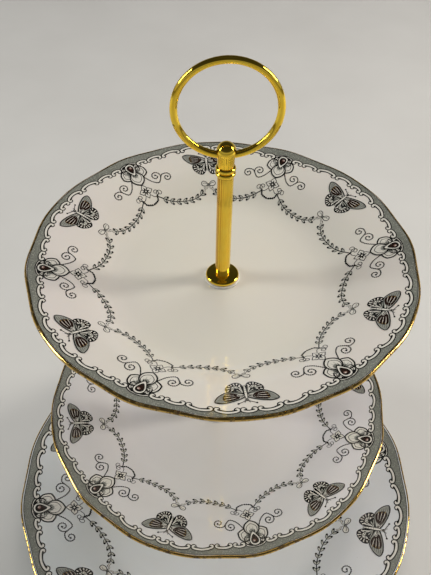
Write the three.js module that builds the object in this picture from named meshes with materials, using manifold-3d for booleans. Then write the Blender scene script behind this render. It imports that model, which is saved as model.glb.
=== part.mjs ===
// Three-tier cake stand: three drilled china plates stacked on screwed-together
// metal columns, with a ring handle at the top. Millimetres, +Z up.
// The origin is on the stand's axis, on the table under the lowest plate's foot.
import * as THREE from 'three';
import * as BufferGeometryUtils from 'three/addons/utils/BufferGeometryUtils.js';
import Module from 'manifold-3d';

const wasm = await Module();
wasm.setup();

// ---------------------------------------------------------------- driving dimensions
const BOTTOM = { rim: 127.7, rimZ: 29.9, wellZ: 8.4, thick: 4.0, foot: 4.4, turn: 9.5 };
const MIDDLE = { rim: 94.7, rimZ: 120.9, wellZ: 106.6, thick: 3.8, foot: 2.8, turn: 40.1 };
const TOP = { rim: 89.6, rimZ: 233.9, wellZ: 218.6, thick: 3.8, foot: 2.8, turn: 4.4 };
const PLATE_HOLE_R = 3.0;         // drilled hole in each plate's centre
const LOBE = { twelve: 0.0038, six: -0.003, eighteen: 0.0028 };
const PLATE_SEGMENTS = 60;
const DISC_SEGMENTS = 20;
const TUBE_SEGMENTS = 18;

const COLUMN_R = 3.45;            // outer radius of the polished columns
const BORE_R = 2.3;               // their threaded bore, drawn plain
const STUD_R = 2.0;               // M4 studs and base bolt, drawn plain
const STUD_REACH = 15;            // how far a stud goes into each column
const DISC_R = 7.8;               // flange discs that clamp a plate
const DISC_T = 2.5;
const WASHER_R = 8.3;             // white plastic washers against the glaze
const WASHER_HOLE_R = 2.6;
const WASHER_T = 1.0;

const COLUMN_TOP_Z = 278.6;       // top of the upper column, under the beads
const BEAD = { outerR: 4.3, tube: 1.2, holeR: 2.3 };
const BALL = { radius: 4.1, centreZ: 290.5, neckTopR: 3.9, neckFootR: 3.5 };
const RING = { centreZ: 309.35, major: 20.8, wire: 1.5 };
const RING_CLEARANCE = 0.3;       // between the ring's wire and the hole it passes

const BOLT = { headR: 4.2, headT: 1.9, washerR: 6.5, washerT: 0.8, reach: 14 };

// ---------------------------------------------------------------- materials
const GOLD = { color: 0xd9a92c, roughness: 0.12, metalness: 1.0 };
const CHINA = { color: 0xe4dcd2, roughness: 0.12, metalness: 0.0 };
const NYLON = { color: 0xf1ece6, roughness: 0.45, metalness: 0.0 };

// ---------------------------------------------------------------- helpers
function tidy(geometry) {
  // Shared vertices merged, faces outward, normals fresh.
  const bare = geometry.index ? geometry.clone() : BufferGeometryUtils.mergeVertices(geometry);
  bare.deleteAttribute('normal');
  bare.deleteAttribute('uv');
  const merged = BufferGeometryUtils.mergeVertices(bare, 1e-4);
  const p = merged.attributes.position;
  const index = Array.from(merged.index.array);
  const kept = [];
  let volume = 0;
  for (let i = 0; i < index.length; i += 3) {
    const [a, b, c] = [index[i], index[i + 1], index[i + 2]];
    if (a === b || b === c || c === a) continue;
    kept.push(a, b, c);
    const va = new THREE.Vector3().fromBufferAttribute(p, a);
    const vb = new THREE.Vector3().fromBufferAttribute(p, b);
    const vc = new THREE.Vector3().fromBufferAttribute(p, c);
    volume += va.dot(vb.cross(vc)) / 6;
  }
  if (volume < 0) {
    for (let i = 0; i < kept.length; i += 3) {
      [kept[i + 1], kept[i + 2]] = [kept[i + 2], kept[i + 1]];
    }
  }
  merged.setIndex(kept);
  merged.computeVertexNormals();
  return merged;
}

function lathe(profile, segments) {
  // A closed [radius, z] profile turned about +Z.
  const points = profile.map(([r, z]) => new THREE.Vector2(r, z));
  if (profile[0][0] > 0) points.push(points[0].clone());
  const geometry = new THREE.LatheGeometry(points, segments);
  geometry.rotateX(Math.PI / 2);
  return tidy(geometry);
}

function toManifold(geometry) {
  const numProp = 3;
  const vertProperties = new Float32Array(geometry.attributes.position.array);
  const triVerts = new Uint32Array(geometry.index.array);
  return new wasm.Manifold(new wasm.Mesh({ numProp, vertProperties, triVerts }));
}

function fromManifold(solid) {
  const mesh = solid.getMesh();
  const geometry = new THREE.BufferGeometry();
  const position = new Float32Array(mesh.vertProperties);
  geometry.setAttribute('position', new THREE.BufferAttribute(position, 3));
  geometry.setIndex(Array.from(mesh.triVerts));
  return tidy(geometry);
}

function addPart(group, name, geometry, look) {
  const material = new THREE.MeshStandardMaterial(look);
  const mesh = new THREE.Mesh(geometry, material);
  mesh.name = name;
  group.add(mesh);
  return mesh;
}

// ---------------------------------------------------------------- plates
function lobeFactor(angle) {
  // Shallow lobes round the rim; every second one of the twelve is a little prouder.
  const twelve = LOBE.twelve * Math.cos(12 * angle);
  const six = LOBE.six * Math.cos(6 * angle);
  const eighteen = LOBE.eighteen * Math.cos(18 * angle);
  return twelve + six + eighteen;
}

function plate({ rim, rimZ, wellZ, thick, foot, turn }) {
  const depth = rimZ - wellZ;
  const under = wellZ - thick;
  const profile = [
    [PLATE_HOLE_R, wellZ],
    [0.56 * rim, wellZ],
    [0.63 * rim, wellZ + 0.17 * depth],
    [0.70 * rim, wellZ + 0.43 * depth],
    [0.79 * rim, wellZ + 0.66 * depth],
    [0.985 * rim, rimZ],
    [rim, rimZ - 0.4],
    [0.995 * rim, rimZ - 1.9],
    [0.79 * rim, wellZ + 0.66 * depth - 3.0],
    [0.69 * rim, wellZ + 0.34 * depth - 3.2],
    [0.595 * rim, under - 0.2],
    [0.575 * rim, under - foot],
    [0.540 * rim, under - foot],
    [0.525 * rim, under],
    [PLATE_HOLE_R, under],
  ];
  const geometry = lathe(profile, PLATE_SEGMENTS);
  const p = geometry.attributes.position;
  const phase = THREE.MathUtils.degToRad(turn);
  const inner = 0.60 * rim;
  for (let i = 0; i < p.count; i += 1) {
    const x = p.getX(i);
    const y = p.getY(i);
    const r = Math.hypot(x, y);
    const share = Math.min(1, Math.max(0, (r - inner) / (rim - inner)));
    const grow = 1 + share * lobeFactor(Math.atan2(y, x) - phase);
    p.setXY(i, x * grow, y * grow);
  }
  geometry.computeVertexNormals();
  return geometry;
}

// ---------------------------------------------------------------- turned metal pieces
function tube(z0, z1) {
  const edge = 0.25;
  const profile = [
    [BORE_R, z0],
    [COLUMN_R - edge, z0],
    [COLUMN_R, z0 + edge],
    [COLUMN_R, z1 - edge],
    [COLUMN_R - edge, z1],
    [BORE_R, z1],
  ];
  return lathe(profile, TUBE_SEGMENTS);
}

function disc(z0, crownUp) {
  // A flange disc: flat face against the washer, rounded edge on the other side.
  const z1 = z0 + DISC_T;
  const side = [
    [DISC_R - 0.5, 0],
    [DISC_R, 0.6],
    [DISC_R - 0.3, 1.7],
    [DISC_R - 1.5, DISC_T],
  ];
  const up = [[BORE_R, 0], ...side, [BORE_R, DISC_T]];
  const profile = up.map(([r, h]) => [r, crownUp ? z0 + h : z1 - h]);
  return lathe(profile, DISC_SEGMENTS);
}

function washer(z0, outerR, holeR, thick) {
  const profile = [
    [holeR, z0],
    [outerR, z0],
    [outerR, z0 + thick],
    [holeR, z0 + thick],
  ];
  return lathe(profile, DISC_SEGMENTS);
}

function stud(z0, z1) {
  const edge = 0.4;
  const profile = [
    [0, z0],
    [STUD_R - edge, z0],
    [STUD_R, z0 + edge],
    [STUD_R, z1 - edge],
    [STUD_R - edge, z1],
    [0, z1],
  ];
  return lathe(profile, 12);
}

function bead(centreZ) {
  const profile = [[BEAD.holeR, centreZ - BEAD.tube], [BEAD.outerR - BEAD.tube, centreZ - BEAD.tube]];
  const steps = 4;
  for (let i = 1; i < steps; i += 1) {
    const a = -Math.PI / 2 + (Math.PI * i) / steps;
    const r = BEAD.outerR - BEAD.tube + BEAD.tube * Math.cos(a);
    profile.push([r, centreZ + BEAD.tube * Math.sin(a)]);
  }
  profile.push([BEAD.outerR - BEAD.tube, centreZ + BEAD.tube], [BEAD.holeR, centreZ + BEAD.tube]);
  return lathe(profile, DISC_SEGMENTS);
}

function ringTorus(wire, radialSegments, tubularSegments) {
  const geometry = new THREE.TorusGeometry(RING.major, wire, radialSegments, tubularSegments);
  geometry.rotateX(Math.PI / 2);
  geometry.translate(0, 0, RING.centreZ);
  return tidy(geometry);
}

function ballHead(footZ) {
  // Ball, tapered neck and the spigot that screws into the upper column.
  const { radius, centreZ, neckTopR, neckFootR } = BALL;
  const drop = Math.sqrt(radius * radius - neckTopR * neckTopR);
  const profile = [
    [0, COLUMN_TOP_Z - 9],
    [STUD_R, COLUMN_TOP_Z - 9],
    [STUD_R, footZ],
    [neckFootR, footZ],
    [neckTopR, centreZ - drop - 0.3],
    [neckTopR, centreZ - drop],
  ];
  const start = -Math.asin(drop / radius);
  const steps = 6;
  for (let i = 1; i <= steps; i += 1) {
    const a = start + ((Math.PI / 2 - start) * i) / steps;
    const r = i === steps ? 0 : radius * Math.cos(a);
    profile.push([r, centreZ + radius * Math.sin(a)]);
  }
  const solid = toManifold(lathe(profile, DISC_SEGMENTS));
  const hole = toManifold(ringTorus(RING.wire + RING_CLEARANCE, 10, 40));
  return fromManifold(solid.subtract(hole));
}

function baseBolt(headZ) {
  // Hexagonal head under the lowest plate, plain shank up into the lower column.
  const head = new THREE.CylinderGeometry(BOLT.headR, BOLT.headR, BOLT.headT, 6);
  head.rotateX(Math.PI / 2);
  head.translate(0, 0, headZ + BOLT.headT / 2);
  const shank = stud(headZ + BOLT.headT / 2, headZ + BOLT.headT + BOLT.reach);
  return fromManifold(toManifold(tidy(head)).add(toManifold(shank)));
}

// ---------------------------------------------------------------- assembly
const stand = new THREE.Group();
stand.name = 'three_tier_cake_stand';

function clampedPlate(name, spec) {
  addPart(stand, `${name}_plate`, plate(spec), CHINA);
  const above = washer(spec.wellZ, WASHER_R, WASHER_HOLE_R, WASHER_T);
  const below = washer(spec.wellZ - spec.thick - WASHER_T, WASHER_R, WASHER_HOLE_R, WASHER_T);
  addPart(stand, `${name}_plate_upper_washer`, above, NYLON);
  addPart(stand, `${name}_plate_lower_washer`, below, NYLON);
}

clampedPlate('bottom', BOTTOM);
clampedPlate('middle', MIDDLE);
clampedPlate('top', TOP);

function column(name, below, above) {
  // Foot disc on the plate below, tube, and seat disc under the plate above.
  const footZ = below.wellZ + WASHER_T;
  const seatZ = above.wellZ - above.thick - WASHER_T - DISC_T;
  addPart(stand, `${name}_foot_disc`, disc(footZ, true), GOLD);
  addPart(stand, `${name}_column`, tube(footZ + DISC_T, seatZ), GOLD);
  addPart(stand, `${name}_seat_disc`, disc(seatZ, false), GOLD);
}

column('lower', BOTTOM, MIDDLE);
column('middle', MIDDLE, TOP);

const handleFootZ = TOP.wellZ + WASHER_T;
addPart(stand, 'upper_foot_disc', disc(handleFootZ, true), GOLD);
addPart(stand, 'upper_column', tube(handleFootZ + DISC_T, COLUMN_TOP_Z), GOLD);

for (const [name, spec] of [['lower', MIDDLE], ['upper', TOP]]) {
  const z0 = spec.wellZ - spec.thick - WASHER_T - DISC_T - STUD_REACH;
  const z1 = spec.wellZ + WASHER_T + DISC_T + STUD_REACH;
  addPart(stand, `${name}_stud`, stud(z0, z1), GOLD);
}

addPart(stand, 'collar_lower_bead', bead(COLUMN_TOP_Z + BEAD.tube), GOLD);
addPart(stand, 'collar_upper_bead', bead(COLUMN_TOP_Z + 3 * BEAD.tube), GOLD);
addPart(stand, 'handle_ball', ballHead(COLUMN_TOP_Z + 4 * BEAD.tube), GOLD);
addPart(stand, 'ring_handle', ringTorus(RING.wire, 8, 40), GOLD);

const boltWasherZ = BOTTOM.wellZ - BOTTOM.thick - WASHER_T - BOLT.washerT;
addPart(stand, 'base_bolt_washer', washer(boltWasherZ, BOLT.washerR, WASHER_HOLE_R, BOLT.washerT), GOLD);
addPart(stand, 'base_bolt', baseBolt(boltWasherZ - BOLT.headT), GOLD);

export default stand;
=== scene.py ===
import math

import bmesh
import bpy
from mathutils import Matrix, Vector


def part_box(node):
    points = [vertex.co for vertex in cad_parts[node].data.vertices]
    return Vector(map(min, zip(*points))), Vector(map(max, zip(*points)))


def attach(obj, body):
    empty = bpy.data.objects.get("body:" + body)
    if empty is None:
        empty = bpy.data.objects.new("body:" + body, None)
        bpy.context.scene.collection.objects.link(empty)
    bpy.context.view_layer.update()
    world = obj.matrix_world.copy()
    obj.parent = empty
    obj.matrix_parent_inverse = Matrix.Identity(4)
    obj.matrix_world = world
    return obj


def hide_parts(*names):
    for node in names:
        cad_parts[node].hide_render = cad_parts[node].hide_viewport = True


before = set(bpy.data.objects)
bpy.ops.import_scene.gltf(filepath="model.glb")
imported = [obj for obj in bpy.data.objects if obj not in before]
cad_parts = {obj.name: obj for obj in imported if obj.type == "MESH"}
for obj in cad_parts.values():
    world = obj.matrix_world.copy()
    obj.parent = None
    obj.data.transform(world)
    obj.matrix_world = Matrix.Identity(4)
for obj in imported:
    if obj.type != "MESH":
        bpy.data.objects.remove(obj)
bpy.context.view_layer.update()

MM = 0.001
TAU = 2 * math.pi

# ---- driving values, mm
PLATES = {
    "bottom": dict(rim=127.7, well=8.4, thick=4.0, foot=4.4, turn=9.5, body="base"),
    "middle": dict(rim=94.7, well=106.6, thick=3.8, foot=2.8, turn=40.1, body="middle_tier"),
    "top": dict(rim=89.6, well=218.6, thick=3.8, foot=2.8, turn=4.4, body="top_tier"),
}
LOBES = ((12, 0.0038), (6, -0.003), (18, 0.0028))      # waves to the turn, height in rim radii
LOBE_START = 0.60       # rim radii from the axis at which the lobes begin
HOLE_R = 3.0
RIM_ROLL = 1.05         # radius of the rolled edge
RIM_WALL = 2.3          # thickness of the flare next to the rolled edge
PLATE_SEGMENTS = 288
GILT_SEGMENTS = 720
TURNED_SEGMENTS = 96

COLUMN_R = 3.45
COLUMN_ROUND = 0.22     # radius of the rounding at a column's ends
STUD_R = 2.05
DISC_R = 7.8
DISC_T = 2.5
WASHER_R = 8.3
BEAD_R = 4.3
BALL_R = 4.1
BOLT_R = 2.0
BOLT_HEAD_R = 4.1
BOLT_HEAD_T = 1.9
BOLT_WASHER_R = 6.5

WELD = 1e-7             # m; points nearer than this are one


# ---- material helpers
class Mat:
    """A node material around one Principled shader."""

    def __init__(self, name):
        self.mat = bpy.data.materials.new(name)
        self.mat.use_nodes = True
        self.nodes = self.mat.node_tree.nodes
        self.links = self.mat.node_tree.links
        self.bsdf = self.nodes["Principled BSDF"]
        self.coord = self.nodes.new("ShaderNodeTexCoord").outputs["Object"]

    def set(self, **values):
        """Constant values of the shader's inputs."""
        for key, value in values.items():
            self.bsdf.inputs[key.replace("_", " ")].default_value = value

    def mapping(self, scale):
        m = self.nodes.new("ShaderNodeMapping")
        m.inputs["Scale"].default_value = scale
        self.links.new(self.coord, m.inputs["Vector"])
        return m.outputs["Vector"]

    def noise(self, scale, detail=3.0, rough=0.5, vector=None):
        n = self.nodes.new("ShaderNodeTexNoise")
        n.inputs["Scale"].default_value = scale
        n.inputs["Detail"].default_value = detail
        n.inputs["Roughness"].default_value = rough
        self.links.new(vector or self.coord, n.inputs["Vector"])
        return n.outputs["Fac"]

    def voronoi(self, scale, output="Distance", randomness=1.0):
        n = self.nodes.new("ShaderNodeTexVoronoi")
        n.inputs["Scale"].default_value = scale
        n.inputs["Randomness"].default_value = randomness
        self.links.new(self.coord, n.inputs["Vector"])
        return n.outputs[output]

    def ramp(self, fac, stops):
        """A colour ramp; a stop's value is a grey level or a colour."""
        n = self.nodes.new("ShaderNodeValToRGB")
        ramp = n.color_ramp
        while len(ramp.elements) < len(stops):
            ramp.elements.new(0.5)
        for element, (at, value) in zip(ramp.elements, stops):
            element.position = at
            if isinstance(value, (int, float)):
                value = (value, value, value)
            element.color = (*value, 1.0)
        self.links.new(fac, n.inputs["Fac"])
        return n.outputs["Color"]

    def math(self, op, a, b):
        n = self.nodes.new("ShaderNodeMath")
        n.operation = op
        for i, v in enumerate((a, b)):
            if isinstance(v, (int, float)):
                n.inputs[i].default_value = v
            else:
                self.links.new(v, n.inputs[i])
        return n.outputs[0]

    def mix(self, fac, a, b):
        n = self.nodes.new("ShaderNodeMix")
        n.data_type = "RGBA"
        for socket, v in ((n.inputs[0], fac), (n.inputs[6], a), (n.inputs[7], b)):
            if isinstance(v, (int, float)):
                socket.default_value = v
            elif isinstance(v, tuple):
                socket.default_value = (*v, 1.0)
            else:
                self.links.new(v, socket)
        return n.outputs[2]

    def bump(self, height, strength, distance):
        n = self.nodes.new("ShaderNodeBump")
        n.inputs["Strength"].default_value = strength
        n.inputs["Distance"].default_value = distance
        self.links.new(height, n.inputs["Height"])
        return n.outputs["Normal"]

    def wire(self, output, key):
        """Links an output to one of the shader's own inputs."""
        self.links.new(output, self.bsdf.inputs[key])


def glaze_surface(m):
    """The soft waves and the polish that the glaze and everything under it share."""
    waves = m.noise(70.0, 2.0, 0.45)
    m.wire(m.bump(waves, 0.10, 0.0006), "Normal")
    m.wire(m.ramp(m.noise(260.0, 3.0), ((0.3, 0.07), (0.75, 0.15))), "Roughness")
    m.set(IOR=1.52, Coat_Weight=0.35, Coat_Roughness=0.04, Coat_IOR=1.5)
    return m


def make_glaze(name, warm, cool):
    """Glazed china in two clouded tints, with a few dark specks fired into it."""
    stain, iron = (0.70, 0.660, 0.610), (0.13, 0.10, 0.08)
    speck_cells = 380.0
    m = glaze_surface(Mat(name))
    tint = m.ramp(m.noise(7.0, 2.0, 0.5), ((0.35, warm), (0.65, cool)))
    cloud = m.ramp(m.noise(30.0, 4.0, 0.55), ((0.3, 0.0), (0.7, 0.22)))
    body = m.mix(cloud, tint, stain)
    near = m.ramp(m.voronoi(speck_cells), ((0.06, 1.0), (0.15, 0.0)))
    chance = m.ramp(m.voronoi(speck_cells, "Color"), ((0.962, 0.0), (0.968, 1.0)))
    speck = m.math("MULTIPLY", near, chance)
    m.wire(m.mix(speck, body, iron), "Base Color")
    m.set(Subsurface_Weight=0.06, Subsurface_Radius=(0.004, 0.003, 0.002), Subsurface_Scale=0.4)
    return m.mat


def make_biscuit():
    """Dry unglazed china on the ground face of the foot rings."""
    dark, light = (0.52, 0.46, 0.37), (0.70, 0.64, 0.54)
    m = Mat("china_biscuit")
    grain = m.noise(1400.0, 4.0, 0.7)
    m.wire(m.ramp(grain, ((0.3, dark), (0.7, light))), "Base Color")
    m.wire(m.bump(grain, 0.5, 0.0002), "Normal")
    m.wire(m.ramp(m.noise(200.0), ((0.3, 0.6), (0.7, 0.85))), "Roughness")
    return m.mat


def make_ink(name, deep, pale):
    """Printed colour under the glaze, a little broken as transfers are."""
    wear = 0.35
    m = glaze_surface(Mat(name))
    broken = m.ramp(m.noise(2600.0, 3.0, 0.6), ((0.42, 0.0), (0.72, 1.0)))
    cloud = m.ramp(m.noise(90.0, 2.0), ((0.35, 0.0), (0.7, 1.0)))
    share = m.math("MULTIPLY", m.math("MAXIMUM", broken, m.math("MULTIPLY", cloud, 0.6)), wear)
    m.wire(m.mix(share, deep, pale), "Base Color")
    return m.mat


def make_band():
    """The stippled grey border."""
    dark, light = (0.185, 0.190, 0.160), (0.26, 0.262, 0.225)
    dot, grain = (0.50, 0.49, 0.42), (0.085, 0.09, 0.075)
    m = glaze_surface(Mat("print_band"))
    dots = m.ramp(m.voronoi(1150.0, "Distance", 0.85), ((0.18, 1.0), (0.42, 0.0)))
    tone = m.ramp(m.noise(60.0, 3.0), ((0.3, dark), (0.7, light)))
    speckled = m.mix(m.math("MULTIPLY", dots, 0.7), tone, dot)
    fine = m.ramp(m.noise(3000.0, 2.0), ((0.45, 0.0), (0.62, 0.5)))
    m.wire(m.mix(fine, speckled, grain), "Base Color")
    return m.mat


def make_gilt():
    """Thin burnished gold on the rim, rubbed through in places."""
    gold, rubbed = (0.80, 0.52, 0.14), (0.10, 0.060, 0.030)
    m = Mat("gilt_edge")
    worn = m.ramp(m.noise(330.0, 5.0, 0.65), ((0.50, 0.0), (0.62, 1.0)))
    m.wire(m.mix(worn, gold, rubbed), "Base Color")
    m.wire(m.math("SUBTRACT", 1.0, m.math("MULTIPLY", worn, 0.6)), "Metallic")
    m.wire(m.ramp(m.noise(900.0, 3.0), ((0.3, 0.06), (0.7, 0.16))), "Roughness")
    m.wire(m.bump(m.noise(1500.0, 3.0), 0.2, 0.00006), "Normal")
    return m.mat


def make_gold(name, stretch, smooth_rough=0.02, scuffed=0.07, metal=1.0, die_lines_and_painted_streaks=0.0):
    """Polished gold plate with faint polishing lines.

    stretch sets which way the lines run; the die-line setting sets how dark the lengthwise streaks along a
    drawn tube are: real die grooves, painted dark to stand in for reflected shadow stripes.
    """
    # The third colour is the painted streak shade laid into the die grooves.
    deep, bright, groove_and_streak_shade = (0.99, 0.64, 0.050), (1.0, 0.71, 0.080), (0.50, 0.22, 0.010)
    m = Mat(name)
    lines = m.noise(1.0, 3.0, 0.6, m.mapping(stretch))
    gold = m.ramp(m.noise(180.0, 3.0, 0.55), ((0.3, deep), (0.7, bright)))
    # Painted reflection: dark lengthwise streaks in the base colour stand in for reflected shadow stripes on
    # the column, laid over its real die grooves.
    if die_lines_and_painted_streaks:
        drawn = m.noise(1.0, 2.0, 0.5, m.mapping((850.0, 850.0, 2.0)))
        groove_and_streak_mask = m.ramp(drawn, ((0.415, 1.0), (0.475, 0.0)))
        gold = m.mix(m.math("MULTIPLY", groove_and_streak_mask, die_lines_and_painted_streaks), gold, groove_and_streak_shade)
    m.wire(gold, "Base Color")
    m.wire(m.ramp(lines, ((0.35, smooth_rough), (0.75, scuffed))), "Roughness")
    m.wire(m.bump(lines, 0.012, 0.00001), "Normal")
    m.set(Metallic=metal)
    return m.mat


def make_nylon():
    dark, light = (0.80, 0.77, 0.72), (0.88, 0.855, 0.81)
    m = Mat("white_nylon")
    grain = m.noise(900.0, 3.0)
    m.wire(m.ramp(grain, ((0.3, dark), (0.7, light))), "Base Color")
    m.wire(m.ramp(m.noise(300.0), ((0.3, 0.32), (0.7, 0.48))), "Roughness")
    m.wire(m.bump(grain, 0.15, 0.00006), "Normal")
    m.set(Subsurface_Weight=0.1, Subsurface_Radius=(0.002, 0.002, 0.002), Subsurface_Scale=0.3)
    return m.mat


def make_floor():
    dark, light = (0.66, 0.64, 0.61), (0.70, 0.68, 0.65)
    m = Mat("pale_floor")
    m.wire(m.ramp(m.noise(9.0, 3.0), ((0.3, dark), (0.7, light))), "Base Color")
    m.set(Roughness=0.7)
    return m.mat


GLAZES = {
    "bottom": make_glaze("china_glaze_bottom", (0.725, 0.745, 0.735), (0.730, 0.730, 0.735)),
    "middle": make_glaze("china_glaze_middle", (0.755, 0.730, 0.715), (0.750, 0.705, 0.720)),
    "top": make_glaze("china_glaze_top", (0.790, 0.745, 0.650), (0.780, 0.705, 0.675)),
}
BISCUIT = make_biscuit()
GILT = make_gilt()
GOLD_TURNED = make_gold("gold_turned", (260.0, 260.0, 2600.0))
# The drawn gold carries painted dark streaks that stand in for reflected shadow stripes.
GOLD_DRAWN = make_gold(
    "gold_drawn", (900.0, 900.0, 8.0), smooth_rough=0.07, scuffed=0.12, metal=0.72, die_lines_and_painted_streaks=0.7)
NYLON = make_nylon()
INKS = {
    "band": make_band(),
    "line": make_ink("ink_line", (0.009, 0.009, 0.008), (0.055, 0.055, 0.045)),
    "soft": make_ink("ink_soft", (0.10, 0.10, 0.085), (0.24, 0.235, 0.20)),
    "grey": make_ink("ink_grey", (0.295, 0.295, 0.260), (0.43, 0.425, 0.375)),
    "pale": make_ink("ink_pale", (0.48, 0.47, 0.41), (0.60, 0.58, 0.51)),
    "white": make_ink("ink_white", (0.74, 0.70, 0.625), (0.80, 0.76, 0.68)),
    "brown": make_ink("ink_brown", (0.017, 0.007, 0.004), (0.055, 0.023, 0.011)),
    "rose": make_ink("ink_rose", (0.26, 0.15, 0.12), (0.40, 0.27, 0.23)),
    "ochre": make_ink("ink_ochre", (0.36, 0.24, 0.09), (0.50, 0.40, 0.24)),
}
INK_ORDER = list(INKS)


# ---- mesh helpers
def add_object(name, data):
    obj = bpy.data.objects.new(name, data)
    bpy.context.scene.collection.objects.link(obj)
    return obj


def new_object(name, verts, faces, mats, body, face_mats=None, normals=None):
    """A smooth-shaded mesh given in mm, with its body."""
    mesh = bpy.data.meshes.new(name)
    mesh.from_pydata([tuple(c * MM for c in v) for v in verts], [], faces)
    for mat in mats:
        mesh.materials.append(mat)
    if face_mats:
        mesh.polygons.foreach_set("material_index", face_mats)
    mesh.polygons.foreach_set("use_smooth", [True] * len(mesh.polygons))
    mesh.update()
    if normals:
        mesh.normals_split_custom_set_from_vertices(normals)
    obj = add_object(name, mesh)
    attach(obj, body)
    return obj


def turned(name, profile, body, mat, nodes):
    """A closed (radius, z) profile turned about the stem, shown in place of the nodes."""
    count = len(profile)
    verts = []
    for i in range(TURNED_SEGMENTS):
        a = TAU * i / TURNED_SEGMENTS
        for r, z in profile:
            verts.append((r * math.cos(a), r * math.sin(a), z))
    faces = []
    for i in range(TURNED_SEGMENTS):
        j = (i + 1) % TURNED_SEGMENTS
        for k in range(count):
            n = (k + 1) % count
            if profile[k][0] <= 0 and profile[n][0] <= 0:
                continue
            faces.append((i * count + k, j * count + k, j * count + n, i * count + n))
    obj = new_object(name, verts, faces, [mat], body)
    obj.data.validate()
    weld_and_shade(obj)
    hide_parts(*nodes)


def weld_and_shade(obj, sharp=38.0):
    """Welds points that coincide and shades sharply where faces meet at more than sharp degrees."""
    bm = bmesh.new()
    bm.from_mesh(obj.data)
    bmesh.ops.remove_doubles(bm, verts=bm.verts, dist=WELD)
    bmesh.ops.dissolve_degenerate(bm, dist=WELD, edges=bm.edges)
    bmesh.ops.recalc_face_normals(bm, faces=bm.faces)
    for e in bm.edges:
        e.smooth = len(e.link_faces) == 2 and e.calc_face_angle(0.0) < math.radians(sharp)
    bm.to_mesh(obj.data)
    bm.free()
    obj.data.update()


def arc(cr, cz, radius, start, end, steps):
    """Points of an arc in (radius, z), angles in degrees from +r."""
    points = []
    for i in range(steps + 1):
        a = math.radians(start + (end - start) * i / steps)
        points.append((cr + radius * math.cos(a), cz + radius * math.sin(a)))
    return points


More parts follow.
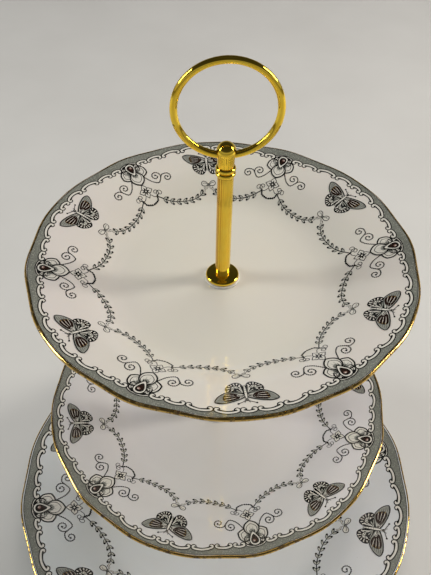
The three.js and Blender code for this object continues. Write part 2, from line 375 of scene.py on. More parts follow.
# ---- plates
class Plate:
    """One china plate; its rim's height comes from the CAD plate, the rest from PLATES."""

    # The face: rim radii from the axis, and share of the plate's depth above the well.
    KNOTS = (
        (0.0, 0.0), (0.46, 0.0), (0.52, 0.012), (0.58, 0.065), (0.63, 0.165), (0.70, 0.40), (0.79, 0.655),
        (0.988, 1.0),
    )
    # The foot ring from outside to inside: rim radii from the axis, and share of the foot's height.
    FOOT = (
        (0.583, 0.55), (0.578, 0.86), (0.574, 0.97), (0.568, 1.0), (0.549, 1.0), (0.543, 0.97), (0.539, 0.86),
        (0.532, 0.35), (0.526, 0.08), (0.515, 0.0), (0.30, 0.0), (0.12, 0.0),
    )
    # The gilt skin: degrees round the rolled edge, and mm above the glaze.
    GILT_MARKS = (
        (98, 0.004), (90, 0.03), (75, 0.035), (56, 0.035), (36, 0.035), (18, 0.035), (2, 0.03), (-6, 0.004),
    )

    def __init__(self, name, rim, well, thick, foot, turn, body):
        self.name = name
        self.R = rim
        self.well = well
        self.thick = thick
        self.foot = foot
        self.phase = math.radians(turn)
        self.body = body
        self.rim_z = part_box(f"{name}_plate")[1].z / MM
        self.depth = self.rim_z - well
        xs = [k[0] for k in self.KNOTS]
        ys = [k[1] for k in self.KNOTS]
        steps = [(ys[i + 1] - ys[i]) / (xs[i + 1] - xs[i]) for i in range(len(xs) - 1)]
        slopes = [0.0]
        for a, b in zip(steps, steps[1:]):
            slopes.append(0.0 if a * b <= 0 else 2 * a * b / (a + b))
        slopes.append(steps[-1])
        self.xs, self.ys, self.slopes = xs, ys, slopes

    def rise(self, u):
        """Height of the face above the well and its slope, at u rim radii."""
        xs, ys, m = self.xs, self.ys, self.slopes
        i = 0
        while i < len(xs) - 2 and u > xs[i + 1]:
            i += 1
        h = xs[i + 1] - xs[i]
        t = min(max((u - xs[i]) / h, 0.0), 1.0)
        y = (
            ys[i] * (2 * t**3 - 3 * t**2 + 1) + m[i] * h * (t**3 - 2 * t**2 + t)
            + ys[i + 1] * (3 * t**2 - 2 * t**3) + m[i + 1] * h * (t**3 - t**2)
        )
        dy = (
            (ys[i + 1] - ys[i]) * (6 * t - 6 * t**2) / h + m[i] * (3 * t**2 - 4 * t + 1)
            + m[i + 1] * (3 * t**2 - 2 * t)
        )
        return y * self.depth, dy * self.depth / self.R

    def grow(self, r, angle):
        """The radius r with the rim's lobes added."""
        share = min(max((r / self.R - LOBE_START) / (1 - LOBE_START), 0.0), 1.0)
        return r * (1 + share * sum(k * math.cos(n * (angle - self.phase)) for n, k in LOBES))

    def face_point(self, x, y, lift):
        """Point of the printed face at plan position x, y in rim radii, and its normal."""
        u, angle = math.hypot(x, y), math.atan2(y, x)
        z, slope = self.rise(u)
        size = math.hypot(1.0, slope)
        c, s = math.cos(angle), math.sin(angle)
        normal = (-slope * c / size, -slope * s / size, 1.0 / size)
        r = self.grow(u * self.R, angle)
        point = (r * c + normal[0] * lift, r * s + normal[1] * lift, self.well + z + normal[2] * lift)
        return point, normal

    def roll(self, a, lift=0.0):
        """Point of the rolled rim edge; a is degrees, 90 on top and 0 outermost."""
        r0 = RIM_ROLL + lift
        a = math.radians(a)
        return (self.R - RIM_ROLL - 0.05 + r0 * math.cos(a), self.rim_z - RIM_ROLL + r0 * math.sin(a))

    def profile(self):
        """(radius, z) points of the face, the rolled edge, the flare's underside and the foot."""
        R, under = self.R, self.well - self.thick
        top = [(HOLE_R, self.well - 0.5), (HOLE_R + 0.5, self.well)]
        inner = [0.07 + 0.43 * i / 6 for i in range(7)]
        outer = [0.50 + (0.984 - 0.50) * i / 44 for i in range(1, 45)]
        for u in inner + outer:
            top.append((u * R, self.well + self.rise(u)[0]))
        edge = [self.roll(a) for a in range(96, -80, -12)]
        below = []
        for i in range(23):
            u = 0.972 - (0.972 - 0.615) * i / 22
            wall = RIM_WALL + (self.thick - RIM_WALL) * ((0.98 - u) / 0.37)
            below.append((u * R, self.well + self.rise(u)[0] - wall))
        foot = [(0.600 * R, under - 0.05), (0.593 * R, under - 0.10 * self.foot - 0.2)]
        foot += [(u * R, under - share * self.foot) for u, share in self.FOOT]
        foot += [(HOLE_R + 0.4, under), (HOLE_R, under + 0.4)]
        return top, edge, below, foot

    def build(self):
        """The china, with dry biscuit on the foot ring's ground face."""
        top, edge, below, foot = self.profile()
        rings = top + edge + below + foot
        lowest = min(z for _, z in foot)
        ground = len(rings) - len(foot) + [z for _, z in foot].index(lowest)
        count = len(rings)
        verts = []
        for i in range(PLATE_SEGMENTS):
            a = TAU * i / PLATE_SEGMENTS
            c, s = math.cos(a), math.sin(a)
            for r, z in rings:
                g = self.grow(r, a)
                verts.append((g * c, g * s, z))
        faces, mats = [], []
        for i in range(PLATE_SEGMENTS):
            j = (i + 1) % PLATE_SEGMENTS
            for k in range(count):
                n = (k + 1) % count
                faces.append((i * count + k, i * count + n, j * count + n, j * count + k))
                mats.append(1 if k == ground else 0)
        name = f"{self.name}_plate_china"
        obj = new_object(name, verts, faces, [GLAZES[self.name], BISCUIT], self.body, mats)
        weld_and_shade(obj, 60.0)
        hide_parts(f"{self.name}_plate")

    def build_gilt(self):
        """A thin skin over the rim's edge; its inner border wavers as a painted line does."""
        n = len(self.GILT_MARKS)
        verts, faces = [], []
        for i in range(GILT_SEGMENTS):
            a = TAU * i / GILT_SEGMENTS
            wobble = 4.0 * math.sin(9 * a + 1.0) + 3.0 * math.sin(23 * a)
            for k, (deg, lift) in enumerate(self.GILT_MARKS):
                shift = wobble if k < 2 else 0.0
                r, z = self.roll(deg + shift, lift)
                g = self.grow(r, a)
                verts.append((g * math.cos(a), g * math.sin(a), z))
            j = (i + 1) % GILT_SEGMENTS
            for k in range(n - 1):
                faces.append((i * n + k, i * n + k + 1, j * n + k + 1, j * n + k))
        new_object(f"{self.name}_plate_gilt", verts, faces, [GILT], self.body)


# ---- the printed pattern
PRINT_LIFT = 0.015      # mm between the glaze and the lowest layer
LAYER = 0.022           # mm between one layer and the next

# Lengths from here on are in rim radii, angles in degrees from a big flower's axis.
REPEATS = 6
REPEAT = 60.0
SCROLL_JOINTS = (3.4, 7.4, 13.4, 20.8, 27.8, 32.2)
CHANNEL = 0.0100        # width of the white line inside the scrolls
OUTLINE = 0.0054        # width of the dark lines beside it
HOOK_POINTS = 10
BAND_EDGE = 0.986
GILT_LINE = 0.9845
BIG_FLOWER_R = 0.892
SMALL_FLOWER_R = 0.744
BUTTERFLY_R = 0.836
BOW_R = 0.704


class Print:
    """Flat printed shapes laid on a plate's face.

    A position is (a, b): a to the side of the axis set by at(), b out along it.
    """

    def __init__(self, plate):
        self.plate = plate
        self.verts, self.normals, self.faces, self.mats = [], [], [], []
        self.axis = 0.0
        self.flip = 1.0

    def at(self, axis_deg, flip=1.0):
        """What follows is drawn about this axis; flip -1 mirrors it."""
        self.axis = self.plate.phase + math.radians(axis_deg)
        self.flip = flip

    def place(self, p, layer):
        a, b = p[0] * self.flip, p[1]
        c, s = math.cos(self.axis), math.sin(self.axis)
        lift = PRINT_LIFT + LAYER * layer
        point, normal = self.plate.face_point(b * c - a * s, b * s + a * c, lift)
        self.verts.append(point)
        self.normals.append(normal)
        return len(self.verts) - 1

    def face(self, ids, ink):
        if self.flip > 0:
            ids = ids[::-1]
        self.faces.append(tuple(ids))
        self.mats.append(INK_ORDER.index(ink))

    def strip(self, left, right, ink, layer):
        """Fills the space between two lines with as many points."""
        ids = [(self.place(p, layer), self.place(q, layer)) for p, q in zip(left, right)]
        for (a, b), (c, d) in zip(ids, ids[1:]):
            self.face([a, b, d, c], ink)

    def stroke(self, path, width, ink, layer, taper=None, caps=False, closed=False, shift=0.0):
        """A line along a path; taper(t) scales its width, shift moves it to its left."""
        n = len(path)
        left, right = [], []
        for i, p in enumerate(path):
            before = path[i - 1] if i or closed else p
            after = path[(i + 1) % n] if i < n - 1 or closed else p
            dx, dy = after[0] - before[0], after[1] - before[1]
            size = math.hypot(dx, dy) or 1.0
            nx, ny = -dy / size, dx / size
            w = width / 2 * (taper(i / (n - 1)) if taper else 1.0)
            left.append((p[0] + nx * (shift + w), p[1] + ny * (shift + w)))
            right.append((p[0] + nx * (shift - w), p[1] + ny * (shift - w)))
        if closed:
            left.append(left[0])
            right.append(right[0])
        self.strip(left, right, ink, layer)
        if caps:
            self.dot(path[0], width / 2, ink, layer, 12)
            self.dot(path[-1], width / 2, ink, layer, 12)

    def fan(self, rim, centre, ink, layer, rings):
        """Fills a shape that its centre sees all round; large ones need more rings to hug the face."""
        x0, y0 = centre
        loops = []
        for k in range(1, rings + 1):
            t = k / rings
            loop = [(x0 + (x - x0) * t, y0 + (y - y0) * t) for x, y in rim]
            loops.append([self.place(p, layer) for p in loop])
        hub = self.place(centre, layer)
        n = len(rim)
        turn = sum(rim[i][0] * rim[(i + 1) % n][1] - rim[(i + 1) % n][0] * rim[i][1] for i in range(n))
        for i in range(n):
            j = (i + 1) % n
            pieces = [[hub, loops[0][i], loops[0][j]]]
            for lo, hi in zip(loops, loops[1:]):
                pieces.append([lo[i], hi[i], hi[j], lo[j]])
            for ids in pieces:
                self.face(ids if turn > 0 else ids[::-1], ink)

    def dot(self, centre, radius, ink, layer, sides):
        self.fan(blob(centre, radius, radius, 0.0, sides), centre, ink, layer, 1)

    def build(self):
        p = self.plate
        mats = [INKS[k] for k in INK_ORDER]
        name, slot = f"{p.name}_plate_print", f"{p.name}_china"
        new_object(name, self.verts, self.faces, mats, p.body, self.mats, self.normals)


def polar(deg, r):
    """The position r out from the stem, deg to the side of the axis."""
    a = math.radians(deg)
    return (r * math.sin(a), r * math.cos(a))


def blob(centre, long, wide, tilt, sides):
    """A closed oval; its long side lies along tilt degrees from +a."""
    c, s = math.cos(math.radians(tilt)), math.sin(math.radians(tilt))
    points = []
    for i in range(sides):
        t = TAU * i / sides
        x, y = long * math.cos(t), wide * math.sin(t)
        points.append((centre[0] + x * c - y * s, centre[1] + x * s + y * c))
    return points


def between(a, b, c, d, t):
    """The Catmull-Rom value at share t of the way from b to c."""
    return 0.5 * (
        2 * b + (c - a) * t + (2 * a - 5 * b + 4 * c - d) * t * t + (3 * b - a - 3 * c + d) * t**3)


def smooth(points, per, closed=False):
    """A Catmull-Rom curve through the points, with per steps from each to the next."""
    n = len(points)
    out = []
    spans = n if closed else n - 1
    for i in range(spans):
        if closed:
            p0, p1, p2, p3 = (points[(i + k - 1) % n] for k in range(4))
        else:
            p0, p1 = points[max(i - 1, 0)], points[i]
            p2, p3 = points[i + 1], points[min(i + 2, n - 1)]
        for j in range(per):
            t = j / per
            out.append(tuple(between(a, b, c, d, t) for a, b, c, d in zip(p0, p1, p2, p3)))
    if not closed:
        out.append(tuple(points[-1]))
    return out


def spread(path, gap):
    """Points every gap along a path, with the direction there."""
    out, travelled, wanted = [], 0.0, 0.0
    for p, q in zip(path, path[1:]):
        dx, dy = q[0] - p[0], q[1] - p[1]
        d = math.hypot(dx, dy)
        while d and travelled + d >= wanted:
            t = (wanted - travelled) / d
            out.append(((p[0] + dx * t, p[1] + dy * t), math.atan2(dy, dx)))
            wanted += gap
        travelled += d
    return out


def both_sides(half):
    """A closed outline from one side of it, mirrored in y = 0; its two ends are not repeated."""
    return half + [(x, -y) for x, y in half[-2:0:-1]]


def spiral(centre, start, turns, end_radius, steps=40):
    """From start, winding in round the centre; positive turns go counterclockwise."""
    dx, dy = start[0] - centre[0], start[1] - centre[1]
    r0, a0 = math.hypot(dx, dy), math.atan2(dy, dx)
    points = []
    for i in range(steps + 1):
        t = i / steps
        r = r0 + (end_radius - r0) * t
        a = a0 + TAU * turns * t
        points.append((centre[0] + r * math.cos(a), centre[1] + r * math.sin(a)))
    return points


def scroll_level(deg):
    """Radius of the scrolled line's joints: nearer the edge by the butterflies."""
    return 0.922 + 0.020 * math.sin(math.radians(min(abs(deg), REPEAT / 2) * 3)) ** 2


def scroll_arch(deg, d0, d1):
    """Radius at deg of the arch between two joints."""
    t = min(max((deg - d0) / (d1 - d0), 0.0), 1.0)
    return scroll_level(deg) + (0.009 + 0.0014 * (d1 - d0)) * math.sin(math.pi * t) ** 0.6


def hook(p, q, side):
    """Carries on from p past q and curls towards the plate's middle, tighter at its end."""
    step = 0.0024
    heading = math.atan2(q[1] - p[1], q[0] - p[0])
    x, y = q
    points = []
    for i in range(HOOK_POINTS):
        heading += side * (0.30 if i < HOOK_POINTS / 2 else 0.46)
        x, y = x + step * math.cos(heading), y + step * math.sin(heading)
        points.append((x, y))
    return points


def scroll_path(d0, d1):
    """One C: an arch bulging to the rim with a hook at each end."""
    inset = 0.78 if d1 - d0 > 5 else 0.62
    arch = []
    steps = 16
    for i in range(steps + 1):
        deg = d0 + inset + (d1 - d0 - 2 * inset) * i / steps
        arch.append(polar(deg, scroll_arch(deg, d0, d1)))
    tail = hook(arch[-2], arch[-1], -1)
    head = hook(arch[1], arch[0], 1)
    return head[::-1] + arch + tail


def draw_band(pr):
    """The border band of one repeat, from the scrolled line to the gilt."""
    joints = (-SCROLL_JOINTS[0],) + SCROLL_JOINTS
    inner, middle, outer = [], [], []
    steps = 180
    for i in range(steps + 1):
        deg = REPEAT * i / steps
        fold = abs((deg + REPEAT / 2) % REPEAT - REPEAT / 2)
        d0, d1 = next((a, b) for a, b in zip(joints, joints[1:]) if a <= fold <= b)
        low = scroll_arch(fold, d0, d1) - 0.002
        inner.append(polar(deg, low))
        middle.append(polar(deg, (low + BAND_EDGE) / 2))
        outer.append(polar(deg, BAND_EDGE))
    pr.strip(outer, middle, "band", 0)
    pr.strip(middle, inner, "band", 0)
    pr.stroke([polar(REPEAT * i / 60, GILT_LINE) for i in range(61)], 0.0030, "line", 1)


def draw_scroll(pr, d0, d1):
    """A white C with dark outlines and a shadow under it that is thick at both ends."""

    def swell(t):
        return (0.40 + 0.60 * abs(math.cos(math.pi * t)) ** 1.5) * min(1.0, 8 * t, 8 * (1 - t))

    path = scroll_path(d0, d1)
    pr.stroke(path, CHANNEL + 2 * OUTLINE, "line", 1, caps=True)
    pr.stroke(path, CHANNEL, "white", 2, caps=True)
    arch = path[HOOK_POINTS - 2:2 - HOOK_POINTS]
    pr.stroke(arch, 0.0100, "line", 3, taper=swell, shift=-CHANNEL / 2 - 0.0036)


def leaf(pr, root, angle, size, layer):
    """A slim leaf that ends in a dark bud."""
    c, s = math.cos(angle), math.sin(angle)
    half = [(i / 7, 0.19 * math.sin(math.pi * i / 7) ** 0.8) for i in range(8)]
    points = []
    for x, y in both_sides(half):
        points.append((root[0] + size * (x * c - y * s), root[1] + size * (x * s + y * c)))
    hub = (root[0] + size * 0.5 * c, root[1] + size * 0.5 * s)
    pr.fan(points, hub, "pale", layer, 1)
    pr.stroke(points, 0.0029, "line", layer + 1, closed=True)
    bud = (root[0] + size * 0.86 * c, root[1] + size * 0.86 * s)
    pr.dot(bud, 0.0060, "line", layer + 2, 8)


def draw_garland(pr):
    """Leaf pairs from a small flower to a bow, with beads and two curls by the flower."""
    leaf_gap, leaf_size, leaf_angle = 0.0385, 0.0310, 0.55
    path = smooth([
        polar(3.7, 0.700), polar(9.5, 0.651), polar(15.5, 0.632), polar(21.5, 0.632), polar(26.0, 0.655),
        polar(28.2, 0.690)], 10)
    pr.stroke(path, 0.0054, "line", 2, taper=lambda t: 1.0 - 0.35 * t)
    for p, heading in spread(path, leaf_gap)[1:-1]:
        for side in (leaf_angle, -leaf_angle):
            leaf(pr, p, heading + side, leaf_size, 3)
    inner = smooth([polar(3.7, 0.700), polar(3.2, 0.676), polar(0.0, 0.662)], 8)
    pr.stroke(inner, 0.0050, "line", 2)
    for p, _ in spread(inner, 0.0115)[1:]:
        pr.dot(p, 0.0056, "line", 3, 8)
    pr.stroke(smooth([polar(1.4, 0.716), polar(2.6, 0.700), polar(3.7, 0.700)], 6), 0.0034, "line", 2)
    curl = spiral(polar(3.9, 0.722), polar(3.7, 0.702), 1.15, 0.003, 22)
    pr.stroke(curl, 0.0042, "line", 3, taper=lambda t: 1.0 - 0.4 * t)
    outer = spiral(polar(5.7, 0.712), polar(4.4, 0.698), -1.2, 0.003, 22)
    pr.stroke(outer, 0.0036, "line", 3, taper=lambda t: 1.0 - 0.4 * t)


def draw_small_flower(pr):
    """Four pointed petals about a dark square heart."""
    heart = (0.0, SMALL_FLOWER_R)
    half = smooth([(0.004, 0.003), (0.013, 0.0135), (0.024, 0.0145), (0.032, 0.0070), (0.041, 0.0)], 4)
    for k in range(4):
        c, s = math.cos(math.radians(90 * k)), math.sin(math.radians(90 * k))
        rim = [(heart[0] + x * c - y * s, heart[1] + x * s + y * c) for x, y in both_sides(half)]
        hub = (heart[0] + 0.021 * c, heart[1] + 0.021 * s)
        pr.fan(rim, hub, "white", 2, 1)
        pr.stroke(rim, 0.0038, "line", 3, closed=True)
        tip = (heart[0] + 0.0235 * c, heart[1] + 0.0235 * s)
        pr.stroke([heart, tip], 0.0190, "line", 4, taper=lambda t: 1.0 - 0.92 * t)
    pr.dot(heart, 0.0046, "white", 5, 8)


def draw_tendril(pr):
    """A beaded stem from the big flower that forks into two curls."""
    fork = polar(9.2, 0.792)
    main = smooth([polar(3.0, 0.826), polar(5.0, 0.786), polar(7.6, 0.768), fork], 10)
    near = spiral(polar(7.5, 0.812), fork, 1.35, 0.006)
    bend = smooth([fork, polar(10.2, 0.812), polar(11.8, 0.816)], 8)
    far = spiral(polar(12.0, 0.789), bend[-1], -1.2, 0.006)
    for path in (main + near[1:], bend + far[1:]):
        pr.stroke(path, 0.0032, "line", 1)
        for p, _ in spread(path, 0.0094)[:-1]:
            pr.dot(p, 0.0041, "line", 2, 7)
        pr.dot(path[-1], 0.0056, "line", 2, 8)


def petal(pr, heart, tilt, length, width, layer):
    """One petal with broad shoulders and a small point, lined and shaded towards the heart."""
    c, s = math.cos(math.radians(tilt)), math.sin(math.radians(tilt))
    half = smooth([
        (0.0, 0.05), (0.13, 0.17), (0.27, 0.38), (0.43, 0.50), (0.60, 0.52), (0.75, 0.45), (0.86, 0.32),
        (0.93, 0.19), (1.0, 0.0)], 3)

    def turn(x, y):
        return (heart[0] + x * c - y * s, heart[1] + x * s + y * c)

    def outline(scale, start):
        return [turn(length * start + length * scale * x, width * scale * y) for x, y in both_sides(half)]

    rim = outline(1.0, 0.0)
    pr.fan(rim, turn(length * 0.55, 0.0), "white", layer, 6)
    pr.stroke(rim, 0.0074, "line", layer + 1, closed=True)
    pr.stroke(outline(0.74, 0.07), 0.0030, "line", layer + 2, closed=True)
    pr.fan(outline(0.46, 0.05), turn(length * 0.26, 0.0), "grey", layer + 2, 3)
    for lean in (-0.42, 0.0, 0.42):
        vein = [turn(0.010 + length * 0.40 * t, lean * width * 0.55 * t) for t in (0.0, 0.3, 0.6, 0.9)]
        pr.stroke(vein, 0.0130, "line", layer + 3, taper=lambda t: 1.0 - 0.95 * t)
    for lean in (-0.20, 0.20):
        vein = [turn(0.012 + length * 0.58 * t, lean * width * 0.70 * t) for t in (0.0, 0.3, 0.6, 0.9)]
        pr.stroke(vein, 0.0042, "soft", layer + 3, taper=lambda t: 1.0 - 0.9 * t)


def draw_big_flower(pr):
    """Five petals about a drop-shaped heart of dark and white rings."""
    for tilt, length, width, layer in (
        (150, 0.058, 0.058, 3), (30, 0.058, 0.058, 3), (-153, 0.086, 0.074, 4), (-27, 0.086, 0.074, 4),
        (-90, 0.106, 0.076, 8),
    ):
        petal(pr, (0.0, BIG_FLOWER_R), tilt, length, width, layer)
    middle = (0.0, 0.903)
    drop = []
    for i in range(32):
        t = TAU * i / 32
        drop.append((0.0260 * math.sin(t) * (0.74 + 0.26 * math.cos(t)), 0.0270 * math.cos(t)))

    def grown(k, tail=0.0):
        points = []
        for x, y in drop:
            points.append((x * k, middle[1] + y * k - tail * max(0.0, -y / 0.027) ** 4))
        return points

    pr.fan(grown(1.52, 0.012), middle, "line", 12, 3)
    pr.fan(grown(1.28, 0.010), middle, "white", 13, 3)
    pr.fan(grown(1.00, 0.003), middle, "line", 14, 3)
    pr.fan(grown(0.76), middle, "brown", 15, 2)
    pr.fan(blob((-0.004, 0.911), 0.0085, 0.0065, 25, 14), (-0.004, 0.911), "rose", 16, 1)
    pr.fan(blob((-0.005, 0.914), 0.0036, 0.0028, 25, 10), (-0.005, 0.914), "white", 17, 1)


def moth(points):
    """Positions given about the butterfly's own middle; it faces the rim."""
    return [(x, BUTTERFLY_R + y) for x, y in points]


def draw_hind_wing(pr):
    """Dark, with white scallops along its edge and pale rays from its middle and from the body."""
    hind = smooth(moth([
        (0.006, 0.012), (0.040, 0.008), (0.072, -0.002), (0.084, -0.018), (0.081, -0.038), (0.066, -0.056),
        (0.044, -0.070), (0.022, -0.068), (0.008, -0.042)]), 6, closed=True)
    hub = (0.042, BUTTERFLY_R - 0.026)

    def ray(deg, reach):
        a = math.radians(deg)
        return (hub[0] + reach * 0.036 * math.cos(a), hub[1] + reach * 0.041 * math.sin(a))

    pr.fan(hind, hub, "line", 1, 7)
    for k in range(8):
        deg = -140 + 25 * k
        scallop = [ray(deg, 0.66), ray(deg + 4, 0.97)]
        pr.stroke(scallop, 0.0054, "white", 2, taper=lambda t: 0.4 + 0.8 * t, caps=True)
    for k in range(6):
        deg = -152 + 34 * k
        ink = "white" if k % 2 else "pale"
        pr.stroke([ray(deg, 0.16), ray(deg, 0.50)], 0.0064, ink, 2, taper=lambda t: 0.3 + t)
    for x, y in ((0.020, -0.046), (0.024, -0.030), (0.036, -0.017), (0.050, -0.006)):
        streak = moth([(0.011, 0.001), ((0.011 + x) / 2, y * 0.45), (x, y)])
        pr.stroke(streak, 0.0046, "white" if x < 0.03 else "pale", 2, taper=lambda t: 0.2 + 0.9 * t)
    for k in range(4):
        pr.dot(ray(-118 + 44 * k, 0.62), 0.0050, "brown", 3, 8)
    pr.stroke(hind, 0.0040, "line", 3, closed=True)


def draw_fore_wing(pr):
    """Grey, with a white root and a brown patch whose three streaks end in ochre."""
    edge = [(0.006, 0.030), (0.034, 0.046), (0.072, 0.058), (0.108, 0.063), (0.131, 0.059), (0.139, 0.048)]
    back = [(0.125, 0.024), (0.104, 0.006), (0.080, -0.006), (0.056, -0.005), (0.012, 0.010)]
    fore = smooth(moth(edge + back), 6, closed=True)
    pr.fan(fore, (0.080, BUTTERFLY_R + 0.030), "grey", 4, 8)
    root = smooth(moth([
        (0.008, 0.026), (0.030, 0.038), (0.042, 0.034), (0.038, 0.014), (0.014, 0.014)]), 5, closed=True)
    pr.fan(root, (0.026, BUTTERFLY_R + 0.024), "white", 5, 3)
    patch = smooth(moth([
        (0.028, 0.034), (0.056, 0.047), (0.088, 0.053), (0.103, 0.042), (0.100, 0.020), (0.084, 0.001),
        (0.060, 0.000), (0.036, 0.012)]), 6, closed=True)
    pr.fan(patch, (0.066, BUTTERFLY_R + 0.026), "brown", 5, 5)
    for k in range(3):
        t = (k + 0.5) / 3
        near = (0.042 + 0.012 * t, BUTTERFLY_R + 0.0365 - 0.026 * t)
        far = (0.103 - 0.010 * t, BUTTERFLY_R + 0.0500 - 0.046 * t)
        bow = ((near[0] + far[0]) / 2, (near[1] + far[1]) / 2 + 0.003 - 0.006 * t)
        streak = smooth([near, bow, far], 6)
        pr.stroke(streak, 0.0028, "white", 6, taper=lambda q: 0.4 + 0.8 * q)
        pr.stroke(streak[9:], 0.0040, "ochre", 7, taper=lambda q: 0.3 + 0.7 * q)
    for k in range(5):
        y = 0.052 - 0.0095 * k
        vein = moth([(0.104 - 0.002 * k, y - 0.002), (0.118 - 0.004 * k, y), (0.132 - 0.006 * k, y)])
        pr.stroke(vein, 0.0024, "soft", 6)
    for k in range(3):
        y = 0.028 - 0.006 * k
        pr.stroke(moth([(0.010, 0.022 - 0.002 * k), (0.022, y + 0.003), (0.036, y)]), 0.0030, "line", 6)
    pr.stroke(fore, 0.0044, "line", 8, closed=True)
    pr.stroke(moth(edge[:-1]), 0.0052, "line", 8)


def draw_feelers(pr):
    feeler = smooth(moth([(0.003, 0.052), (0.018, 0.060), (0.040, 0.070)]), 8)
    pr.stroke(feeler, 0.0034, "line", 3)
    pr.dot(feeler[-1], 0.0050, "line", 3, 8)
    leg = smooth(moth([(0.003, 0.046), (0.009, 0.058), (0.012, 0.066)]), 5)
    pr.stroke(leg, 0.0028, "line", 3)


def draw_butterfly_body(pr):
    """A ringed white body in a dark outline, and a dark head with two white eyes."""

    def bulge(t):
        return math.sin(math.pi * min(t * 1.1, 1.0))

    path = smooth(moth([(0.0, -0.050), (0.0, -0.020), (0.0, 0.012), (0.0, 0.036), (0.0, 0.050)]), 6)
    pr.stroke(path, 0.0170, "line", 9, taper=lambda t: 0.30 + 0.75 * bulge(t) ** 0.8)
    pr.stroke(path, 0.0105, "white", 10, taper=lambda t: 0.2 + 0.8 * bulge(t))
    for k in range(4):
        y = -0.034 + 0.012 * k
        pr.stroke(moth([(-0.005, y), (0.005, y)]), 0.0018, "soft", 11)
    pr.dot((0.0, BUTTERFLY_R + 0.050), 0.0078, "line", 11, 12)
    for x in (-0.0028, 0.0028):
        pr.dot((x, BUTTERFLY_R + 0.052), 0.0018, "white", 12, 6)


def draw_bow(pr):
    """Half of a tied ribbon; the other half is its mirror image."""
    knot = (0.0, BOW_R)
    loop = smooth([
        (0.003, 0.704), (0.018, 0.722), (0.036, 0.722), (0.040, 0.706), (0.024, 0.696)], 6, closed=True)
    pr.fan(loop, (0.024, 0.709), "white", 3, 1)
    pr.stroke(loop, 0.0036, "line", 4, closed=True)
    pr.stroke(smooth([(0.008, 0.706), (0.020, 0.714), (0.032, 0.712)], 5), 0.0028, "soft", 5)
    tail = smooth([(0.002, 0.702), (0.010, 0.686), (0.024, 0.680), (0.030, 0.664)], 6)
    pr.stroke(tail, 0.0100, "line", 3, taper=lambda t: 0.5 + 0.6 * t)
    pr.stroke(tail, 0.0056, "white", 4, taper=lambda t: 0.4 + 0.7 * t)
    pr.dot(knot, 0.0070, "line", 6, 10)
    pr.dot(knot, 0.0038, "grey", 7, 8)


def print_plate(plate):
    """Six repeats of the pattern: a flower on each axis and a butterfly between two."""
    pr = Print(plate)
    for k in range(REPEATS):
        turn = -REPEAT * k
        pr.at(turn)
        draw_band(pr)
        draw_scroll(pr, -SCROLL_JOINTS[0], SCROLL_JOINTS[0])
        draw_big_flower(pr)
        draw_small_flower(pr)
        for flip in (1.0, -1.0):
            pr.at(turn, flip)
            for d0, d1 in zip(SCROLL_JOINTS[:-2], SCROLL_JOINTS[1:-1]):
                draw_scroll(pr, d0, d1)
            draw_garland(pr)
            draw_tendril(pr)
        pr.at(turn)
        draw_scroll(pr, SCROLL_JOINTS[-2], SCROLL_JOINTS[-1])
        for flip in (1.0, -1.0):
            pr.at(turn - REPEAT / 2, flip)
            draw_hind_wing(pr)
            draw_fore_wing(pr)
            draw_feelers(pr)
            draw_bow(pr)
        pr.at(turn - REPEAT / 2)
        draw_butterfly_body(pr)
    pr.build()


# ---- metal fittings
def heights(node):
    """The lowest and highest z of a node, mm."""
    lo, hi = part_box(node)
    return lo.z / MM, hi.z / MM


def build_disc(name, body, node, crown_up):
    """Clamping disc: flat against its washer, a rolled edge and a crown that rises to the column."""
    lo, hi = heights(node)
    bore, roll = STUD_R + 0.2, 1.0
    edge = arc(DISC_R - roll, roll, roll, -80, 84, 14)
    face = [
        (DISC_R - 1.6, 2.06), (DISC_R - 2.2, 2.2), (COLUMN_R + 1.6, DISC_T - 0.1),
        (COLUMN_R + 0.7, DISC_T - 0.02),
    ]
    profile = [(bore, 0.0), (DISC_R - 1.2, 0.0)] + edge + face + [(bore, DISC_T)]
    if crown_up:
        placed = [(r, lo + h) for r, h in profile]
    else:
        placed = [(r, hi - h) for r, h in profile]
    turned(name, placed, body, GOLD_TURNED, [node])


def build_column(name, body, node):
    """A drawn tube with rounded ends."""
    lo, hi = heights(node)
    bore, c = STUD_R + 0.25, COLUMN_ROUND
    wall = [(COLUMN_R, lo + c + (hi - lo - 2 * c) * i / 12) for i in range(13)]
    profile = (
        [(bore, lo), (COLUMN_R - c, lo)] + arc(COLUMN_R - c, lo + c, c, -80, -10, 4) + wall
        + arc(COLUMN_R - c, hi - c, c, 10, 80, 4) + [(COLUMN_R - c, hi), (bore, hi)]
    )
    turned(name, profile, body, GOLD_DRAWN, [node])


def build_washer(name, body, node, mat, radius):
    """A flat ring with all its edges rounded."""
    lo, hi = heights(node)
    e = min(0.32, (hi - lo) / 2 - 0.02)
    inner = STUD_R + 0.45
    profile = (
        [(inner, lo + e)] + arc(inner + e, lo + e, e, 190, 260, 4) + [(radius - e, lo)]
        + arc(radius - e, lo + e, e, -80, -10, 4) + arc(radius - e, hi - e, e, 10, 80, 4) + [(radius - e, hi)]
        + arc(inner + e, hi - e, e, 100, 170, 4)
    )
    turned(name, profile, body, mat, [node])


def build_bead(name, body, node):
    """A half-round collar ring."""
    lo, hi = heights(node)
    r, bore = (hi - lo) / 2, STUD_R + 0.2
    profile = [(bore, lo)] + arc(BEAD_R - r, lo + r, r * 0.985, -88, 88, 22) + [(bore, hi)]
    turned(name, profile, body, GOLD_TURNED, [node])


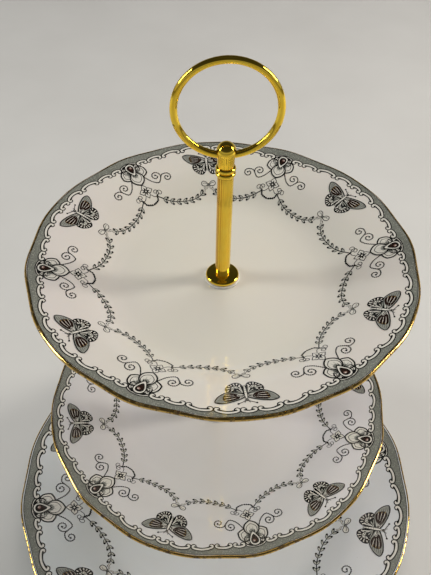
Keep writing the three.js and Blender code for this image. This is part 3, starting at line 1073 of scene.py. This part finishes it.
def build_ball():
    """Round cap over a tapered cup neck, with the spigot that goes down into the column."""
    lo, hi = heights("handle_ball")
    centre = hi - BALL_R
    foot = heights("collar_upper_bead")[1]
    neck = [
        (STUD_R, lo), (STUD_R, foot - 0.05), (3.25, foot - 0.05), (3.45, foot + 0.1), (3.48, foot + 0.5),
        (3.55, foot + 1.8), (3.63, foot + 3.4), (3.72, centre - 1.6), (3.78, centre - 0.75),
        (3.80, centre - 0.55), (3.90, centre - 0.45), (4.02, centre - 0.35),
    ]
    profile = [(0.0, lo)] + neck + arc(0.0, centre, BALL_R, -3, 88, 26) + [(0.0, hi)]
    turned("handle_ball_cap", profile, "handle", GOLD_TURNED, ["handle_ball"])


def build_ring():
    """The wire ring, its wire 2% thicker than the CAD's faceted one."""
    lo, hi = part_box("ring_handle")
    wire = (hi.y - lo.y) / 2 / MM * 1.02
    major = (hi.x - lo.x) / 2 / MM - wire
    centre_z = (lo.z + hi.z) / 2 / MM
    around, across = 160, 24
    verts, faces = [], []
    for i in range(around):
        a = TAU * i / around
        here, there = i * across, (i + 1) % around * across
        for k in range(across):
            b = TAU * k / across
            n = (k + 1) % across
            r = major + wire * math.cos(b)
            verts.append((r * math.cos(a), wire * math.sin(b), centre_z + r * math.sin(a)))
            faces.append((here + k, there + k, there + n, here + n))
    obj = new_object("ring_handle_wire", verts, faces, [GOLD_TURNED], "handle")
    weld_and_shade(obj)
    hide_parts("ring_handle")


def build_bolt():
    """Hexagonal head with a chamfered face and a washer face above it, on a plain shank."""
    lo, hi = heights("base_bolt")
    sides, per = 6, 12
    n = sides * per
    # The head from below: share of its radius where the chamfer turns the hexagon round, and height.
    rings = [(0.0, 0.0), (0.70, 0.0), (0.86, 0.05), (0.93, 0.28), (1.0, 0.55), (1.0, 1.7), (0.9, BOLT_HEAD_T)]
    verts, faces = [], []
    for share, h in rings:
        for i in range(n):
            a = TAU * i / n
            local = (a % (TAU / sides)) - math.pi / sides
            flat = math.cos(math.pi / sides) / math.cos(local)
            r = BOLT_HEAD_R * min(share, flat)
            verts.append((r * math.cos(a), r * math.sin(a), lo + h))
    shank = [(BOLT_R, lo + BOLT_HEAD_T), (BOLT_R, hi - 0.5), (BOLT_R - 0.4, hi), (0.0, hi)]
    for r, z in shank:
        for i in range(n):
            a = TAU * i / n
            verts.append((r * math.cos(a), r * math.sin(a), z))
    total = len(rings) + len(shank)
    for k in range(total - 1):
        for i in range(n):
            j = (i + 1) % n
            faces.append((k * n + i, k * n + j, (k + 1) * n + j, (k + 1) * n + i))
    obj = new_object("base_bolt_head", verts, faces, [GOLD_TURNED], "bolt")
    obj.data.validate()
    weld_and_shade(obj, 25.0)
    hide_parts("base_bolt")


# ---- build everything
for plate_name, spec in PLATES.items():
    plate = Plate(plate_name, **spec)
    plate.build()
    plate.build_gilt()
    print_plate(plate)
    for side in ("upper", "lower"):
        node = f"{plate_name}_plate_{side}_washer"
        build_washer(f"{node}_ring", spec["body"], node, NYLON, WASHER_R)

for part, body, crown in (
    ("lower_foot_disc", "lower_stem", True), ("lower_seat_disc", "lower_stem", False),
    ("middle_foot_disc", "middle_stem", True), ("middle_seat_disc", "middle_stem", False),
    ("upper_foot_disc", "handle", True),
):
    build_disc(f"{part}_flange", body, part, crown)

for part, body in (
    ("lower_column", "lower_stem"), ("middle_column", "middle_stem"), ("upper_column", "handle"),
):
    build_column(f"{part}_tube", body, part)

build_bead("collar_lower_bead_ring", "handle", "collar_lower_bead")
build_bead("collar_upper_bead_ring", "handle", "collar_upper_bead")
build_ring()
build_ball()
build_bolt()
build_washer("base_bolt_washer_ring", "bolt", "base_bolt_washer", GOLD_TURNED, BOLT_WASHER_R)

# The studs are out of sight, so the CAD's own meshes stay and only take the gold.
for node in ("lower_stud", "upper_stud"):
    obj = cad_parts[node]
    obj.data.materials.clear()
    obj.data.materials.append(GOLD_TURNED)


# ---- stage, light and camera, in metres
FLOOR_HALF = 4.0
CAMERA_AT = (-0.0149, -0.2340, 0.4549)
YAW, PITCH, ROLL = math.radians(2.89), math.radians(46.1), math.radians(1.33)


def make_stage():
    h = FLOOR_HALF
    mesh = bpy.data.meshes.new("floor")
    mesh.from_pydata([(-h, -h, 0), (h, -h, 0), (h, h, 0), (-h, h, 0)], [], [(0, 1, 2, 3)])
    mesh.materials.append(make_floor())
    add_object("floor", mesh)


def make_world():
    """A quiet room: bright low round the walls and dark overhead."""
    world = bpy.data.worlds.new("studio")
    world.use_nodes = True
    nodes, links = world.node_tree.nodes, world.node_tree.links
    coord = nodes.new("ShaderNodeTexCoord").outputs["Generated"]
    split = nodes.new("ShaderNodeSeparateXYZ")
    links.new(coord, split.inputs["Vector"])
    ramp = nodes.new("ShaderNodeValToRGB")
    stops = ((0.0, 0.42), (0.14, 0.38), (0.36, 0.05), (0.90, 0.035), (1.0, 0.05))
    while len(ramp.color_ramp.elements) < len(stops):
        ramp.color_ramp.elements.new(0.5)
    for element, (at, level) in zip(ramp.color_ramp.elements, stops):
        element.position = at
        element.color = (level * 0.95, level * 0.97, level * 1.04, 1.0)
    links.new(split.outputs["Z"], ramp.inputs["Fac"])
    links.new(ramp.outputs["Color"], nodes["Background"].inputs["Color"])
    nodes["Background"].inputs["Strength"].default_value = 1.0
    return world


def area_light(name, place, target, size, power, colour, mirrored=True):
    """A soft box; with mirrored off it doesn't show in the gold and the glaze."""
    light = bpy.data.lights.new(name, "AREA")
    light.shape = "RECTANGLE"
    light.size, light.size_y = size
    light.energy = power
    light.color = colour
    obj = add_object(name, light)
    obj.location = place
    obj.visible_glossy = mirrored
    obj.rotation_mode = "QUATERNION"
    obj.rotation_quaternion = (Vector(target) - Vector(place)).to_track_quat("-Z", "Y")


def make_sky():
    """A broad sun straight overhead, out of sight of the gold and the glaze."""
    sky = add_object("sky", bpy.data.lights.new("sky", "SUN"))
    sky.data.energy = 0.42
    sky.data.angle = math.radians(70)
    sky.visible_glossy = False


def make_camera():
    """The photo's camera, found from the outlines of the plates and the ring."""
    camera = bpy.data.cameras.new("camera")
    camera.sensor_fit = "AUTO"
    camera.sensor_width = 36.0
    camera.lens = 43.8
    obj = add_object("camera", camera)
    forward = Vector((math.sin(YAW) * math.cos(PITCH), math.cos(YAW) * math.cos(PITCH), -math.sin(PITCH)))
    right = Vector((math.cos(YAW), -math.sin(YAW), 0.0))
    up = right.cross(forward)
    tilted_right = math.cos(ROLL) * right + math.sin(ROLL) * up
    tilted_up = -math.sin(ROLL) * right + math.cos(ROLL) * up
    basis = Matrix((tilted_right, tilted_up, -forward)).transposed().to_4x4()
    obj.matrix_world = Matrix.Translation(CAMERA_AT) @ basis
    return obj


make_stage()
bpy.context.scene.world = make_world()
bpy.context.scene.view_settings.view_transform = "Standard"
make_sky()
area_light("key", (0.35, 0.75, 1.45), (0, 0, 0.1), (0.9, 0.9), 7.0, (1.0, 0.965, 0.935), mirrored=False)
area_light("left", (-1.15, 0.05, 0.75), (0, 0, 0.22), (0.3, 0.6), 6.8, (0.93, 0.98, 0.96))
area_light("right", (1.15, 0.12, 0.75), (0, 0, 0.22), (0.3, 0.6), 9.8, (1.0, 0.975, 0.90))

bpy.context.scene.camera = make_camera()
